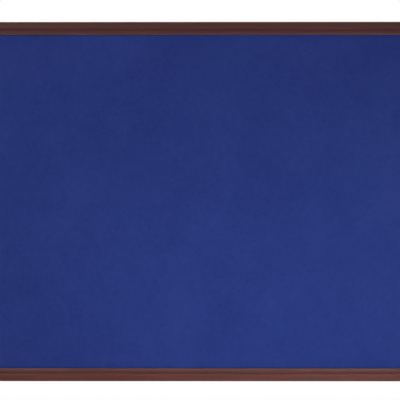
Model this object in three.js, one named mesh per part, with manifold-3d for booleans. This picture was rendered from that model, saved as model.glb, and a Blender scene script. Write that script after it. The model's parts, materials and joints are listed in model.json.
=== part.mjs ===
// A felt notice board, 1200 x 900 mm, in a mitred frame of mahogany-finish moulding, that hangs on a wall.
// Millimetres, +Z up. The wall is the plane y = 0 and the origin is the point on it behind the board's centre.
// The board stands out from the wall towards -Y, so the felt faces -Y and left and right are as seen by its reader.

import * as THREE from 'three';
import { ConvexGeometry } from 'three/addons/geometries/ConvexGeometry.js';
import { mergeVertices, toCreasedNormals } from 'three/addons/utils/BufferGeometryUtils.js';
import Module from 'manifold-3d';

const wasm = await Module();
wasm.setup();

// Overall size
const boardWidth = 1200;
const boardHeight = 900;

// Clearances
const seatGap = 0.3; // between a piece and its seat, and round a driven fastener
const glueLine = 0.3; // between two bonded sheets
const mitreGap = 0.3; // across each mitre
const panelPlay = 0.8; // between the panel's edge and the wall of the rebate
const cutOverrun = 1; // how far a cutter runs past the face that it opens

// Panel, from the wall forward
const hardboardThickness = 2.5;
const coreThickness = 9;
const feltThickness = 2;
const feltSqueeze = 0.5; // what the lip of the frame takes off the felt's thickness
const feltRamp = 3; // how far inside the sight edge the felt has swelled back

// Frame moulding. Widths run from the outer edge to the sight edge, drops are below the crest of the face.
const railWidth = 32;
const rebateWidth = 9;
const lipThickness = 3.7;
const backRecess = 3.1; // from the frame's back to the panel's back
const backEase = 0.8;
const outerRadius = 4;
const faceRadius = 55;
const noseRadius = 9.5;
const noseAngle = (45 * Math.PI) / 180; // that the nose turns down into the quirk
const quirkWidth = 0.5;
const bandRadius = 9.5; // of the crowned band between the quirk and the edge bead
const bandDrop = 1.5;
const valleyDrop = 2.1; // where the band meets the edge bead
const edgeBeadRadius = 1.7;
const edgeBeadDrop = 1.6;

// V-nails across the back of each mitre
const nailThickness = 0.7;
const nailWing = 5;
const nailHeight = 10;
const nailSink = 0.4; // below the frame's back
const nailHalfAngle = (52 * Math.PI) / 180; // between the mitre and each wing
const nailInsetShares = [1 / 3, 2 / 3]; // of the solid width behind the rebate
const nailNames = ['outer', 'inner'];

// Retaining points, driven into the wall of the rebate behind the panel
const pointWidth = 7;
const pointLength = 16;
const pointThickness = 0.8;
const pointBite = 7; // how much of a point is in the wood
const pointTaper = 2.5; // length of its sharpened end
const pointTipWidth = 2;
const pointEndInset = 165; // from the frame's corner to the nearest point
const pointsPerRail = 4;
const pointsPerStile = 3;

// Strap hangers, one on each stile: a folded strap with a loose ring in its eye
const hangerDrop = 180; // from the frame's top edge to the eye
const strapWidth = 12;
const strapThickness = 1;
const strapLength = 36; // from the eye's axis to the end of the leg on the frame
const strapFoldGap = 0.2; // between the two legs
const strapFrontLegShort = 0.8;
const strapNeckRadius = 2; // where the outer leg comes down from the eye
const ringWire = 2.2;
const ringCornerRadius = 3;
const ringBarPlay = 1; // at each end of the strap's width
const eyeClearance = 0.3;
const wallClearance = 0.2; // from the eye to the wall

// Countersunk screws that hold the straps
const screwDrops = { upper: 8.4, lower: 27 }; // below the eye's axis
const screwLength = 16;
const screwShankRadius = 1.7;
const screwHeadRadius = 3.3;
const screwHeadLand = 0.2;
const screwTipLength = 4;
const recessSpan = 3.6;
const recessWidth = 0.9;
const recessDepth = 1.3;

// Rubber bumpers, two on each rail
const bumperRadius = 6;
const bumperFaceRadius = 5;
const bumperEdge = 0.8;
const bumperInset = 70; // from the frame's corner

// Facets
const arcSteps = 10;
const roundSteps = 24;
const ringSteps = 56;
const wireSides = 10;
const creaseAngle = Math.PI / 6;

// Worked out from the sizes above
const rebateDepth = backRecess + hardboardThickness + glueLine + coreThickness + glueLine
  + feltThickness - feltSqueeze + seatGap;
const railDepth = rebateDepth + lipThickness + edgeBeadRadius + edgeBeadDrop;
const backWidth = railWidth - rebateWidth; // of the solid wood behind the rebate's wall
const panelWidth = boardWidth - 2 * (backWidth + panelPlay);
const panelHeight = boardHeight - 2 * (backWidth + panelPlay);
const ringRadius = strapWidth / 2 + ringBarPlay + ringCornerRadius;
const ringReach = ringCornerRadius + ringRadius; // from the bar to the middle of the bow
const eyeRadius = ringWire / 2 + eyeClearance;
const eyeStandoff = seatGap + strapThickness + eyeRadius; // from the frame's back to the eye's axis
const strapFace = seatGap + 2 * strapThickness + strapFoldGap; // the outer leg's face above the frame's back
const wallStandoff = eyeStandoff + eyeRadius + strapThickness + wallClearance;
const bumperHeight = wallStandoff - seatGap;

const frameBack = -wallStandoff;
const hardboardBack = frameBack - backRecess;
const coreBack = hardboardBack - hardboardThickness - glueLine;
const feltBack = coreBack - coreThickness - glueLine;

const mahoganyFoil = new THREE.MeshStandardMaterial({ color: 0x4e2e2c, roughness: 0.42, metalness: 0 });
const blueFelt = new THREE.MeshStandardMaterial({ color: 0x263576, roughness: 0.95, metalness: 0 });
const softboard = new THREE.MeshStandardMaterial({ color: 0xb59a70, roughness: 0.95, metalness: 0 });
const hardboard = new THREE.MeshStandardMaterial({ color: 0x6e4c30, roughness: 0.7, metalness: 0 });
const zincSteel = new THREE.MeshStandardMaterial({ color: 0xb8bcc2, roughness: 0.35, metalness: 1 });
const blackSteel = new THREE.MeshStandardMaterial({ color: 0x37383b, roughness: 0.5, metalness: 1 });
const blackRubber = new THREE.MeshStandardMaterial({ color: 0x1c1d1f, roughness: 0.8, metalness: 0 });

// Points along a circular arc, both ends included.
function arc(centreX, centreY, radius, fromAngle, toAngle) {
  return Array.from({ length: arcSteps + 1 }, (_, step) => {
    const angle = fromAngle + ((toAngle - fromAngle) * step) / arcSteps;
    return new THREE.Vector2(centreX + radius * Math.cos(angle), centreY + radius * Math.sin(angle));
  });
}

// A three.js geometry as a solid that can be joined and cut.
function solidOf(geometry) {
  const bare = geometry.clone();
  bare.deleteAttribute('normal');
  bare.deleteAttribute('uv');
  const merged = mergeVertices(bare);
  const vertProperties = merged.attributes.position.array;
  const triVerts = new Uint32Array(merged.index.array);
  return new wasm.Manifold(new wasm.Mesh({ numProp: 3, vertProperties, triVerts }));
}

// A solid back as a three.js geometry, with its sharp edges kept sharp in shading.
function geometryOf(solid) {
  const { vertProperties, triVerts } = solid.getMesh();
  const geometry = new THREE.BufferGeometry();
  geometry.setAttribute('position', new THREE.BufferAttribute(vertProperties, 3));
  geometry.setIndex(new THREE.BufferAttribute(triVerts, 1));
  return toCreasedNormals(geometry, creaseAngle);
}

function cut(geometry, cutters) {
  return geometryOf(cutters.reduce((rest, cutter) => rest.subtract(solidOf(cutter)), solidOf(geometry)));
}

// An outline drawn in x and z, given a thickness from y = 0 towards -Y.
function plate(outline, thickness) {
  const flat = new THREE.ExtrudeGeometry(new THREE.Shape(outline), { depth: thickness, bevelEnabled: false });
  return flat.rotateX(Math.PI / 2);
}

// A solid of revolution about Y, from a profile of [radius, y] that starts and ends on the axis.
function turned(profile) {
  return new THREE.LatheGeometry(profile.map(([radius, y]) => new THREE.Vector2(radius, y)), roundSteps);
}

function rod(radius, length) {
  return new THREE.CylinderGeometry(radius, radius, length, roundSteps);
}

// Section of the moulding: x from the outer edge to the sight edge, y from the back to the front.
function mouldingOutline() {
  // The edge bead and the band meet in a valley.
  const valleyY = railDepth - valleyDrop;
  const edgeX = railWidth - edgeBeadRadius;
  const edgeY = railDepth - edgeBeadDrop - edgeBeadRadius;
  const edgeFoot = Math.asin((valleyY - edgeY) / edgeBeadRadius);
  const bandY = railDepth - bandDrop - bandRadius;
  const bandFoot = Math.asin((valleyY - bandY) / bandRadius);
  const bandX = edgeX - edgeBeadRadius * Math.cos(edgeFoot) - bandRadius * Math.cos(bandFoot);

  // The band and the nose of the face fall into the quirk.
  const quirkY = railDepth - noseRadius * (1 - Math.cos(noseAngle));
  const quirkFoot = Math.asin((quirkY - bandY) / bandRadius);
  const noseX = bandX - bandRadius * Math.cos(quirkFoot) - quirkWidth - noseRadius * Math.sin(noseAngle);

  // The crowned face runs level into the nose and tangent into the round outer edge.
  const faceAngle = Math.asin((noseX - outerRadius) / (faceRadius - outerRadius));
  const faceY = railDepth - faceRadius;
  const outerY = faceY + (faceRadius - outerRadius) * Math.cos(faceAngle);

  return [
    new THREE.Vector2(backEase, 0),
    new THREE.Vector2(backWidth, 0),
    new THREE.Vector2(backWidth, rebateDepth),
    new THREE.Vector2(railWidth, rebateDepth),
    ...arc(edgeX, edgeY, edgeBeadRadius, 0, Math.PI - edgeFoot),
    ...arc(bandX, bandY, bandRadius, bandFoot, Math.PI - quirkFoot).slice(1),
    ...arc(noseX, railDepth - noseRadius, noseRadius, Math.PI / 2 - noseAngle, Math.PI / 2),
    ...arc(noseX, faceY, faceRadius, Math.PI / 2, Math.PI / 2 + faceAngle).slice(1),
    ...arc(outerRadius, outerY, outerRadius, Math.PI / 2 + faceAngle, Math.PI).slice(1),
    new THREE.Vector2(0, backEase),
  ];
}

// A length of moulding with both ends mitred. It lies along x with its outer back edge on the x axis,
// its sight edge towards +Z and its face towards -Y.
function mouldingLength(length) {
  const section = new THREE.Shape(mouldingOutline());
  const geometry = new THREE.ExtrudeGeometry(section, { depth: length, bevelEnabled: false });
  geometry.translate(0, 0, -length / 2);
  const position = geometry.attributes.position;
  for (let i = 0; i < position.count; i++) {
    const fromEnd = position.getX(i) + mitreGap / Math.SQRT2;
    position.setZ(i, position.getZ(i) - Math.sign(position.getZ(i)) * fromEnd);
  }
  const across = new THREE.Vector3(0, 0, 1);
  const forward = new THREE.Vector3(0, -1, 0);
  const along = new THREE.Vector3(1, 0, 0);
  return geometry.applyMatrix4(new THREE.Matrix4().makeBasis(across, forward, along));
}

// A V-nail seen from the back, its apex at the origin pointing along +X, every side grown for its slot.
function nailOutline(grow) {
  const [sine, cosine] = [Math.sin(nailHalfAngle), Math.cos(nailHalfAngle)];
  const wing = nailWing + grow + (grow * cosine) / sine;
  const thickness = nailThickness + 2 * grow;
  const apex = grow / sine;
  const outerTip = [apex - wing * cosine, wing * sine];
  const innerTip = [outerTip[0] - thickness * sine, outerTip[1] - thickness * cosine];
  return [
    new THREE.Vector2(apex, 0),
    new THREE.Vector2(outerTip[0], outerTip[1]),
    new THREE.Vector2(innerTip[0], innerTip[1]),
    new THREE.Vector2(apex - thickness / sine, 0),
    new THREE.Vector2(innerTip[0], -innerTip[1]),
    new THREE.Vector2(outerTip[0], -outerTip[1]),
  ];
}

// The turn that points a V-nail from the corner at (right, top), each -1 or 1, along the mitre.
function nailTurn(right, top) {
  return Math.atan2(top, -right);
}

function nailSlots(length) {
  const depth = nailSink + nailHeight + seatGap;
  return [-1, 1].flatMap((end) => nailInsetShares.map((share) => {
    const inset = share * backWidth;
    const slot = plate(nailOutline(seatGap), cutOverrun + depth).translate(0, cutOverrun, 0);
    return slot.rotateY(nailTurn(end, -1)).translate(end * (length / 2 - inset), 0, inset);
  }));
}

// Where the retaining points lie along a side of the frame.
function pointPlaces(length, count) {
  const pitch = (length - 2 * pointEndInset) / (count - 1);
  return Array.from({ length: count }, (_, i) => i * pitch - length / 2 + pointEndInset);
}

// A retaining point with its sharpened end in the wood. Its back lies at y = 0 and the rebate's wall at z = 0.
function retainingPoint() {
  const free = pointLength - pointBite;
  return plate([
    new THREE.Vector2(-pointTipWidth / 2, -pointBite),
    new THREE.Vector2(pointTipWidth / 2, -pointBite),
    new THREE.Vector2(pointWidth / 2, pointTaper - pointBite),
    new THREE.Vector2(pointWidth / 2, free),
    new THREE.Vector2(-pointWidth / 2, free),
    new THREE.Vector2(-pointWidth / 2, pointTaper - pointBite),
  ], pointThickness);
}

function pointSlots(length, count) {
  const height = pointThickness + 2 * seatGap;
  const depth = pointBite + seatGap + cutOverrun;
  const centreY = -backRecess + seatGap + pointThickness / 2;
  const centreZ = backWidth + cutOverrun - depth / 2;
  return pointPlaces(length, count).map((place) => (
    new THREE.BoxGeometry(pointWidth + 2 * seatGap, height, depth).translate(place, centreY, centreZ)
  ));
}

// A blind hole for a strap's screw, in the middle of the solid back.
function pilotHole(place) {
  const depth = screwLength - strapFace + seatGap;
  const length = depth + cutOverrun;
  return rod(screwShankRadius + seatGap, length).translate(place, cutOverrun - length / 2, backWidth / 2);
}

// The sheet of felt: thin under the frame's lip, and swelled back to its own thickness in the sight opening.
function feltSheet() {
  const edgeThickness = feltThickness - feltSqueeze;
  const edge = new THREE.BoxGeometry(panelWidth, edgeThickness, panelHeight);
  edge.translate(0, feltBack - edgeThickness / 2, 0);
  const corners = [-feltSqueeze, feltSqueeze].flatMap((rise) => {
    const inset = railWidth + (feltRamp * rise) / feltSqueeze;
    return [-1, 1].flatMap((right) => [-1, 1].map((top) => new THREE.Vector3(
      right * (boardWidth / 2 - inset),
      feltBack - edgeThickness - rise,
      top * (boardHeight / 2 - inset),
    )));
  });
  return geometryOf(solidOf(edge).add(solidOf(new ConvexGeometry(corners))));
}

function panelSheet(thickness) {
  return new THREE.BoxGeometry(panelWidth, thickness, panelHeight);
}

// Side view of the folded strap: x up the strap with the eye's axis at 0, y out from the frame's back.
function strapOutline() {
  const middle = eyeRadius + strapThickness / 2;
  const drop = eyeStandoff + middle - (strapFace - strapThickness / 2);
  const neckAngle = Math.acos(1 - drop / (middle + strapNeckRadius));
  const neckX = -(middle + strapNeckRadius) * Math.sin(neckAngle);
  const neckY = strapFace - strapThickness / 2 + strapNeckRadius;
  const outside = eyeRadius + strapThickness;
  const legEnd = strapFrontLegShort - strapLength;
  const [turnIn, level] = [Math.PI / 2 + neckAngle, -Math.PI / 2];
  const neck = (radius, from, to) => arc(neckX, neckY, radius, from, to);
  return [
    new THREE.Vector2(-strapLength, seatGap),
    ...arc(0, eyeStandoff, outside, level, turnIn),
    ...neck(strapNeckRadius - strapThickness / 2, level + neckAngle, level),
    new THREE.Vector2(legEnd, strapFace),
    new THREE.Vector2(legEnd, strapFace - strapThickness),
    ...neck(strapNeckRadius + strapThickness / 2, level, level + neckAngle),
    ...arc(0, eyeStandoff, eyeRadius, turnIn, level),
    new THREE.Vector2(-strapLength, seatGap + strapThickness),
  ];
}

// A strap hanger's strap: folded round the eye, its free end rounded, two countersunk holes through both legs.
// The eye's axis lies along x at z = 0, and the frame's back is y = 0 with the wall towards +Y.
function hangerStrap() {
  const folded = new THREE.ExtrudeGeometry(new THREE.Shape(strapOutline()), {
    depth: strapWidth,
    bevelEnabled: false,
  });
  folded.translate(0, 0, -strapWidth / 2);
  const up = new THREE.Vector3(0, 0, 1);
  const outward = new THREE.Vector3(0, 1, 0);
  const side = new THREE.Vector3(-1, 0, 0);
  folded.applyMatrix4(new THREE.Matrix4().makeBasis(up, outward, side));

  const half = strapWidth / 2;
  const top = eyeRadius + strapThickness + cutOverrun;
  const blank = plate([
    new THREE.Vector2(half, top),
    new THREE.Vector2(-half, top),
    ...arc(0, half - strapLength, half, Math.PI, 2 * Math.PI),
  ], wallStandoff + 2 * cutOverrun).translate(0, wallStandoff + cutOverrun, 0);
  const rounded = solidOf(folded).intersect(solidOf(blank));
  return cut(geometryOf(rounded), Object.values(screwDrops).map((drop) => (
    screwClearance().translate(0, strapFace, -drop)
  )));
}

// The room that a screw's head and shank need in the strap, with the head's face at y = 0.
function screwClearance() {
  const head = screwHeadRadius + seatGap;
  const shank = screwShankRadius + seatGap;
  const coneEnd = -screwHeadLand - (screwHeadRadius - screwShankRadius);
  return turned([
    [0, -strapFace - cutOverrun],
    [shank, -strapFace - cutOverrun],
    [shank, coneEnd],
    [head, -screwHeadLand],
    [head, cutOverrun],
    [0, cutOverrun],
  ]);
}

// A countersunk screw with a cross recess. Its head's face is y = 0 and its tip points to -Y.
function hangerScrew() {
  const shape = turned([
    [0, -screwLength],
    [screwShankRadius, screwTipLength - screwLength],
    [screwShankRadius, -screwHeadLand - (screwHeadRadius - screwShankRadius)],
    [screwHeadRadius, -screwHeadLand],
    [screwHeadRadius, 0],
    [0, 0],
  ]);
  const slot = () => new THREE.BoxGeometry(recessSpan, 2 * recessDepth, recessWidth);
  return cut(shape, [slot(), slot().rotateY(Math.PI / 2)]);
}

// The wire of a hanger's ring: a straight bar through the eye, two tight corners and a half-round bow.
class RingLoop extends THREE.Curve {
  constructor() {
    super();
    const bar = ringRadius - ringCornerRadius;
    this.loop = new THREE.Path()
      .moveTo(-bar, 0)
      .lineTo(bar, 0)
      .absarc(bar, -ringCornerRadius, ringCornerRadius, Math.PI / 2, 0, true)
      .absarc(0, -ringCornerRadius, ringRadius, 0, -Math.PI, true)
      .absarc(-bar, -ringCornerRadius, ringCornerRadius, Math.PI, Math.PI / 2, true);
  }

  getPoint(t, target = new THREE.Vector3()) {
    const point = this.loop.getPoint(t);
    return target.set(point.x, 0, point.y);
  }
}

function hangerRing() {
  return new THREE.TubeGeometry(new RingLoop(), ringSteps, ringWire / 2, wireSides, true);
}

// How far the hanging ring leans out, with its bow lying on the strap.
function ringLean() {
  const bowStandoff = strapFace + seatGap + ringWire / 2;
  return Math.asin((bowStandoff - eyeStandoff) / ringReach);
}

// A rubber bumper with its flat face, which meets the wall, at y = 0 and its wider base towards -Y.
function wallBumper() {
  return turned([
    [0, -bumperHeight],
    [bumperRadius, -bumperHeight],
    [bumperFaceRadius + bumperEdge * ((bumperRadius - bumperFaceRadius) / bumperHeight), -bumperEdge],
    [bumperFaceRadius - bumperEdge * Math.SQRT1_2 / 2, -bumperEdge * (1 - Math.SQRT1_2)],
    [bumperFaceRadius - bumperEdge, 0],
    [0, 0],
  ]);
}

function mesh(name, geometry, material, parent) {
  const made = new THREE.Mesh(geometry, material);
  made.name = name;
  parent.add(made);
  return made;
}

// The four sides of the frame. Each side's group has the moulding's own axes: x along it, z towards the sight edge.
// reads is 1 where x runs left to right or downwards, and -1 where it runs the other way.
const frameSides = [
  { name: 'bottom', kind: 'rail', length: boardWidth, turn: 0, x: 0, z: -boardHeight / 2, reads: 1 },
  { name: 'top', kind: 'rail', length: boardWidth, turn: Math.PI, x: 0, z: boardHeight / 2, reads: -1 },
  { name: 'left', kind: 'stile', length: boardHeight, turn: Math.PI / 2, x: -boardWidth / 2, z: 0, reads: 1 },
  { name: 'right', kind: 'stile', length: boardHeight, turn: -Math.PI / 2, x: boardWidth / 2, z: 0, reads: -1 },
];

function addFrameSide(parent, side) {
  const group = new THREE.Group();
  group.position.set(side.x, frameBack, side.z);
  group.rotation.y = side.turn;
  parent.add(group);

  const isStile = side.kind === 'stile';
  const pointCount = isStile ? pointsPerStile : pointsPerRail;
  const eyeZ = boardHeight / 2 - hangerDrop;
  const pilots = isStile ? Object.values(screwDrops).map((drop) => pilotHole(-side.reads * (eyeZ - drop))) : [];
  const cutters = [...nailSlots(side.length), ...pointSlots(side.length, pointCount), ...pilots];
  mesh(`frame_${side.kind}_${side.name}`, cut(mouldingLength(side.length), cutters), mahoganyFoil, group);

  pointPlaces(side.length, pointCount).forEach((place, i) => {
    const point = mesh(`retaining_point_${side.name}_${i + 1}`, retainingPoint(), blackSteel, group);
    point.position.set(side.reads * place, -backRecess + seatGap + pointThickness, backWidth);
  });
}

function addCorner(parent, right, top) {
  const name = `${top > 0 ? 'top' : 'bottom'}_${right > 0 ? 'right' : 'left'}`;
  nailInsetShares.forEach((share, i) => {
    const inset = share * backWidth;
    const nail = mesh(`v_nail_${name}_${nailNames[i]}`, plate(nailOutline(0), nailHeight), zincSteel, parent);
    nail.rotation.y = nailTurn(right, top);
    nail.position.set(right * (boardWidth / 2 - inset), frameBack - nailSink, top * (boardHeight / 2 - inset));
  });
  const bumper = mesh(`wall_bumper_${name}`, wallBumper(), blackRubber, parent);
  bumper.position.set(right * (boardWidth / 2 - bumperInset), 0, top * (boardHeight / 2 - backWidth / 2));
}

function addPanel(parent) {
  const back = mesh('hardboard_back', panelSheet(hardboardThickness), hardboard, parent);
  back.position.y = hardboardBack - hardboardThickness / 2;
  const core = mesh('softboard_core', panelSheet(coreThickness), softboard, parent);
  core.position.y = coreBack - coreThickness / 2;
  mesh('felt_facing', feltSheet(), blueFelt, parent);
}

function addHanger(parent, name, right) {
  const group = new THREE.Group();
  group.position.set(right * (boardWidth / 2 - backWidth / 2), frameBack, boardHeight / 2 - hangerDrop);
  parent.add(group);

  mesh(`hanger_strap_${name}`, hangerStrap(), zincSteel, group);
  const ring = mesh(`hanger_ring_${name}`, hangerRing(), zincSteel, group);
  ring.position.y = eyeStandoff;
  ring.rotation.x = ringLean();
  Object.entries(screwDrops).forEach(([place, drop]) => {
    const screw = mesh(`hanger_screw_${name}_${place}`, hangerScrew(), zincSteel, group);
    screw.position.set(0, strapFace, -drop);
  });
}

const noticeBoard = new THREE.Group();
frameSides.forEach((side) => addFrameSide(noticeBoard, side));
[-1, 1].forEach((top) => [-1, 1].forEach((right) => addCorner(noticeBoard, right, top)));
addPanel(noticeBoard);
addHanger(noticeBoard, 'left', -1);
addHanger(noticeBoard, 'right', 1);

export default noticeBoard;
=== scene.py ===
import json
import math

import bmesh
import bpy
from mathutils import Matrix, Vector, noise


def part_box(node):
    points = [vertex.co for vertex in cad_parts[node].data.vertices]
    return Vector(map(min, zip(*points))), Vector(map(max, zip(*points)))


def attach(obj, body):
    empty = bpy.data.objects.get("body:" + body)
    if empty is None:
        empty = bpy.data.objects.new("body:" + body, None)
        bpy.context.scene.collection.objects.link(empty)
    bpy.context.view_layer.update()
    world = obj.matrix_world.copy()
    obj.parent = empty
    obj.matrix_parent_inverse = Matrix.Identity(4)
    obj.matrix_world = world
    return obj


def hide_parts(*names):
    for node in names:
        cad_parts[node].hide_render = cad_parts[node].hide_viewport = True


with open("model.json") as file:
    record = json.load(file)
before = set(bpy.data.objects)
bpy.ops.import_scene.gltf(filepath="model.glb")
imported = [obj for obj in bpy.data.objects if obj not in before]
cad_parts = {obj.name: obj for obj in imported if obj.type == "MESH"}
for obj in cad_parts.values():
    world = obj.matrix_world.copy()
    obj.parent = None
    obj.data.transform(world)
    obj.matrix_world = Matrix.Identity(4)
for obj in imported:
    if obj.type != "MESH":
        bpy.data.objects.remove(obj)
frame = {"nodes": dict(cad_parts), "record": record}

# A felt notice board, 1200 x 900 mm, seen straight on. Metres, Z up; the wall is y = 0 and the felt faces -Y.

mm = 0.001
touch = 0.001 * mm  # vertices closer than this are one
near = 0.01 * mm  # places closer than this lie in one plane, and a cut leaves no shorter edge
scene = bpy.context.scene
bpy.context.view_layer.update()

# Places that the frame gives
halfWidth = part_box("frame_stile_right")[1].x
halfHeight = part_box("frame_rail_top")[1].z
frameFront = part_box("frame_rail_top")[0].y
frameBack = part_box("frame_rail_top")[1].y
feltLow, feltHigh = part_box("felt_facing")
hingeAt = {joint["child"]: Vector(joint["pos_m"]) for joint in frame["record"]["behaviour"]["joints"]}


# Node helpers

def linear(hexColour):
    channels = [int(hexColour[i:i + 2], 16) / 255 for i in (1, 3, 5)]
    return [c / 12.92 if c <= 0.04045 else ((c + 0.055) / 1.055) ** 2.4 for c in channels] + [1]


def addNode(tree, kind, settings=None, **links):
    # A link is named like its socket, with _ for a space, or is _ and the socket's number.
    # The setting "stops" holds the places and colours of a colour ramp.
    node = tree.nodes.new(kind)
    settings = dict(settings or {})
    stops = settings.pop("stops", [])
    for name, value in settings.items():
        setattr(node, name, value)
    for _ in stops[2:]:
        node.color_ramp.elements.new(0.5)
    for i, (place, colour) in enumerate(stops):
        node.color_ramp.elements[i].position = place
        node.color_ramp.elements[i].color = linear(colour)
    for name, value in links.items():
        socket = node.inputs[int(name[1:]) if name[1:].isdigit() else name.replace("_", " ")]
        if isinstance(value, bpy.types.NodeSocket):
            tree.links.new(value, socket)
        else:
            socket.default_value = value
    return node


def newMaterial(name):
    material = bpy.data.materials.new(name)
    material.use_nodes = True
    material.node_tree.nodes.clear()
    return material, material.node_tree


# Mesh helpers

def vertsOf(items):
    return [item for item in items if isinstance(item, bmesh.types.BMVert)]


def edgesOf(items):
    return [item for item in items if isinstance(item, bmesh.types.BMEdge)]


def lineOn(bm, vert, place):
    nextVert = bm.verts.new(place)
    bm.edges.new((vert, nextVert))
    return nextVert


def spinRound(bm, geom, centre, axis, degrees, steps, rise=0, merge=False):
    # Turns geom round an axis in steps that may rise along Z, and gives what the last step made
    return bmesh.ops.spin(bm, geom=geom, cent=centre, axis=axis, dvec=(0, 0, rise),
                          angle=math.radians(degrees), space=Matrix.Identity(4), steps=steps,
                          use_merge=merge, use_normal_flip=False, use_duplicate=False)["geom_last"]


def arcOn(bm, vert, centre, degrees, steps):
    # Runs the chain of edges on from vert round a circle about X, and gives its last vertex
    return vertsOf(spinRound(bm, [vert], centre, (1, 0, 0), degrees, steps))[0]


def growEdges(bm, edges, move):
    # Draws a row of edges out into faces, and gives the new row
    grown = bmesh.ops.extrude_edge_only(bm, edges=edges)["geom"]
    verts = vertsOf(grown)
    bmesh.ops.translate(bm, verts=verts, vec=move)
    return [edge for edge in edgesOf(grown) if all(vert in verts for vert in edge.verts)]


def lathe(bm, outline, sides):
    # Turns an outline round Z, given from the axis to the axis as radii and heights in mm
    chain = [bm.verts.new((radius * mm, 0, up * mm)) for radius, up in outline]
    edges = [bm.edges.new(pair) for pair in zip(chain, chain[1:])]
    spinRound(bm, chain + edges, (0, 0, 0), (0, 0, 1), 360, sides, merge=True)
    bmesh.ops.remove_doubles(bm, verts=bm.verts[:], dist=touch)
    bmesh.ops.recalc_face_normals(bm, faces=bm.faces[:])


def makePiece(name, bm, materials, body, node, smoothAngle=35):
    bmesh.ops.remove_doubles(bm, verts=bm.verts[:], dist=touch)
    bmesh.ops.recalc_face_normals(bm, faces=bm.faces[:])
    mesh = bpy.data.meshes.new(name)
    bm.to_mesh(mesh)
    bm.free()
    for material in materials:
        mesh.materials.append(material)
    mesh.shade_smooth()
    mesh.set_sharp_from_angle(angle=math.radians(smoothAngle))
    piece = bpy.data.objects.new(name, mesh)
    scene.collection.objects.link(piece)
    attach(piece, body)
    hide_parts(node)
    return piece


def applyModifiers(piece, smoothAngle=35):
    # The mesh as its modifiers leave it, so that cutters can go, without the slivers that a cut leaves.
    # A cut gives its vertices and faces in another order each run, so they are first put in one order.
    depsgraph = bpy.context.evaluated_depsgraph_get()
    made = bpy.data.meshes.new_from_object(piece.evaluated_get(depsgraph))
    piece.modifiers.clear()
    bm = bmesh.new()
    bm.from_mesh(made)
    ordered = sorted(bm.verts, key=lambda vert: [round(c, 7) for c in vert.co])
    for index, vert in enumerate(ordered):
        vert.index = index
    bm.verts.sort()
    for items in (bm.edges, bm.faces):
        ordered = sorted(items, key=lambda item: sorted(vert.index for vert in item.verts))
        for index, item in enumerate(ordered):
            item.index = index
        items.sort()
    bmesh.ops.remove_doubles(bm, verts=bm.verts[:], dist=near)
    bmesh.ops.dissolve_degenerate(bm, edges=bm.edges[:], dist=near)
    bm.to_mesh(made)
    bm.free()
    made.set_sharp_from_angle(angle=math.radians(smoothAngle))
    piece.data = made


def cutAway(pieces, cutter, materials=(), crossing=False, smoothAngle=35):
    # Cuts the cutter's shape out of the pieces; crossing says that a piece or the cutter runs through itself
    mesh = bpy.data.meshes.new("cutter")
    cutter.to_mesh(mesh)
    cutter.free()
    for material in materials:
        mesh.materials.append(material)
    tool = bpy.data.objects.new("cutter", mesh)
    scene.collection.objects.link(tool)
    for piece in pieces:
        cut = piece.modifiers.new("cut", "BOOLEAN")
        cut.operation = "DIFFERENCE"
        cut.solver = "EXACT"
        cut.use_self = crossing
        cut.object = tool
        applyModifiers(piece, smoothAngle)
    bpy.data.objects.remove(tool)


# Materials. Sizes are in mm.

foilLook = {
    # The pale colour below serves the painted highlight on the edge bead and the wear on the outer edge
    "dark": "#442220", "mid": "#4c2724", "light": "#562e2a", "pore": "#2c1516", "highlightAndWear": "#96795c",
    "streaks": (5.5, 160), "pores": (0.9, 14),  # across and along the rail
    "patchy": (1.2, 0.4),  # how far the painted highlight and the wear follow the streaks, and their share without them
}


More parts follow.
